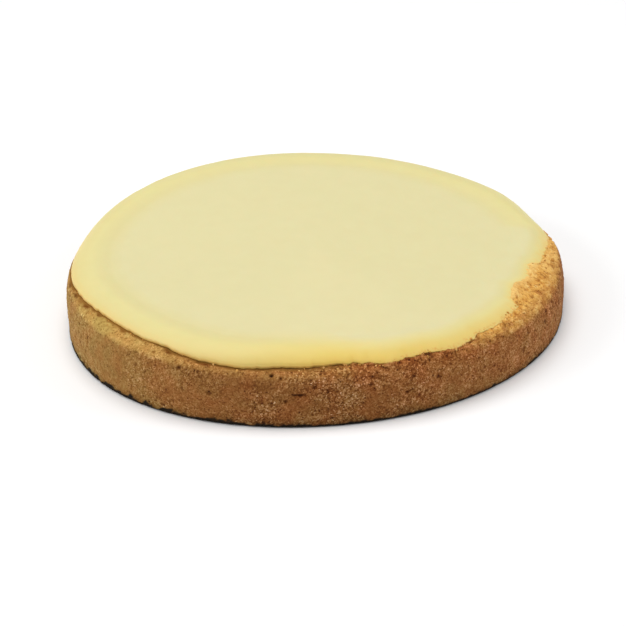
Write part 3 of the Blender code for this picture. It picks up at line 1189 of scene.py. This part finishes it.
def filling_material():
    """Baked filling: pale cream yellow, yellower down its rounded edge, apricot where it met the crust."""
    shader = Shader("baked_filling")
    shader.patterns = {
        "clouds": shader.noise(22 * MM),
        "patches": shader.noise(2.5 * MM, detail=3.0),
        "lumps": shader.noise(1.1 * MM),
    }
    inwards = shader.weighed(*INWARDS)
    places = [distance * MM / COLOUR_REACH for distance, _, _ in FILLING_COLOURS]
    deep = shader.ramp(inwards, *zip(places, [deep for _, deep, _ in FILLING_COLOURS]))
    pale = shader.ramp(inwards, *zip(places, [pale for _, _, pale in FILLING_COLOURS]))
    colour = shader.mix("deep", pale, deep)
    patchy = shader.math("MULTIPLY_ADD", "patches", *PATCHINESS, clamp=True)
    colour = shader.mix(shader.math("MULTIPLY", "thin", patchy), colour, THIN_GOLD)
    peeking = shader.math("MULTIPLY", shader.weighed(*PEEKING), PEEKING_SHARPNESS, clamp=True)
    colour = shader.mix(peeking, colour, PEEKING_CRUMB)
    colour = shader.tint(colour, shader.ramp(shader.noise(7 * MM, detail=3.0), *MOTTLE))
    shader.bump(shader.noise(2.2 * MM), depth=0.12 * MM, strength=0.25)
    roughness = shader.weighed(*FILLING_ROUGHNESS)
    return shader.finish(
        colour, roughness, Specular_IOR_Level=0.3, Subsurface_Weight=0.1, Subsurface_Scale=0.003
    )


def floor_material():
    """Plain white."""
    return Shader("floor").finish(FLOOR_WHITE, roughness=0.6, Specular_IOR_Level=0.2)


# ---- stage


def make_floor():
    """The floor, which only the pictures show."""
    corners = [(x * FLOOR_HALF, y * FLOOR_HALF, 0) for x, y in ((-1, -1), (1, -1), (1, 1), (-1, 1))]
    floor = add_mesh("floor", corners, [(0, 1, 2, 3)], {})
    floor.location.z = -FLOOR_DROP
    floor.data.materials.append(floor_material())


def make_light(name, place, aim, side, power):
    """A soft square light."""
    lamp = bpy.data.lights.new(name, "AREA")
    lamp.shape = "SQUARE"
    lamp.size = side
    lamp.energy = power
    light = add_object(name, lamp)
    light.location = place
    light.rotation_euler = (Vector(aim) - Vector(place)).to_track_quat("-Z", "Y").to_euler()


def make_lights():
    """A white world and the lights."""
    world = bpy.data.worlds.new("studio")
    world.use_nodes = True
    background = world.node_tree.nodes["Background"]
    background.inputs["Color"].default_value = WORLD_WHITE
    background.inputs["Strength"].default_value = WORLD_STRENGTH
    bpy.context.scene.world = world
    for light in LIGHTS:
        make_light(*light)
    bpy.context.scene.view_settings.view_transform = "Standard"


def make_camera():
    """The camera, placed from the middle of the cake's outline."""
    lens = bpy.data.cameras.new("camera")
    lens.sensor_width = SENSOR_WIDTH
    lens.lens = CAMERA_LENS
    camera = add_object("camera", lens)
    view = Vector((0, -math.cos(CAMERA_ELEVATION), math.sin(CAMERA_ELEVATION))) * CAMERA_DISTANCE
    turn = (CAMERA_AIM - view).to_track_quat("-Z", "Y").to_matrix().to_4x4()
    place = Matrix.Translation(view + Vector((*RINGS_MIDDLE, 0)))
    camera.matrix_world = place @ turn @ Matrix.Rotation(CAMERA_ROLL, 4, "Z")
    bpy.context.scene.camera = camera


def main():
    """Builds the stage and the cake, dresses each piece, hangs it on the root and hides the solid it stands
    for.
    """
    make_camera()
    make_lights()
    make_floor()
    cake = Cake(CRUST_COLUMNS)
    crust, crust_surface = make_crust(cake)
    crumbs = make_crumbs(cake, crust_surface)
    filling = make_filling(Cake(FILLING_COLUMNS))
    dressing = (
        (crust, "crust", "crumb_crust", crust_material()),
        (crumbs, "crust", "crumb_crust", crumbs_material()),
        (filling, "filling", "baked_filling", filling_material()),
    )
    for piece, node, slot, material in dressing:
        piece.data.materials.append(material)
        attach(piece, "root")
        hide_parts(node)


main()
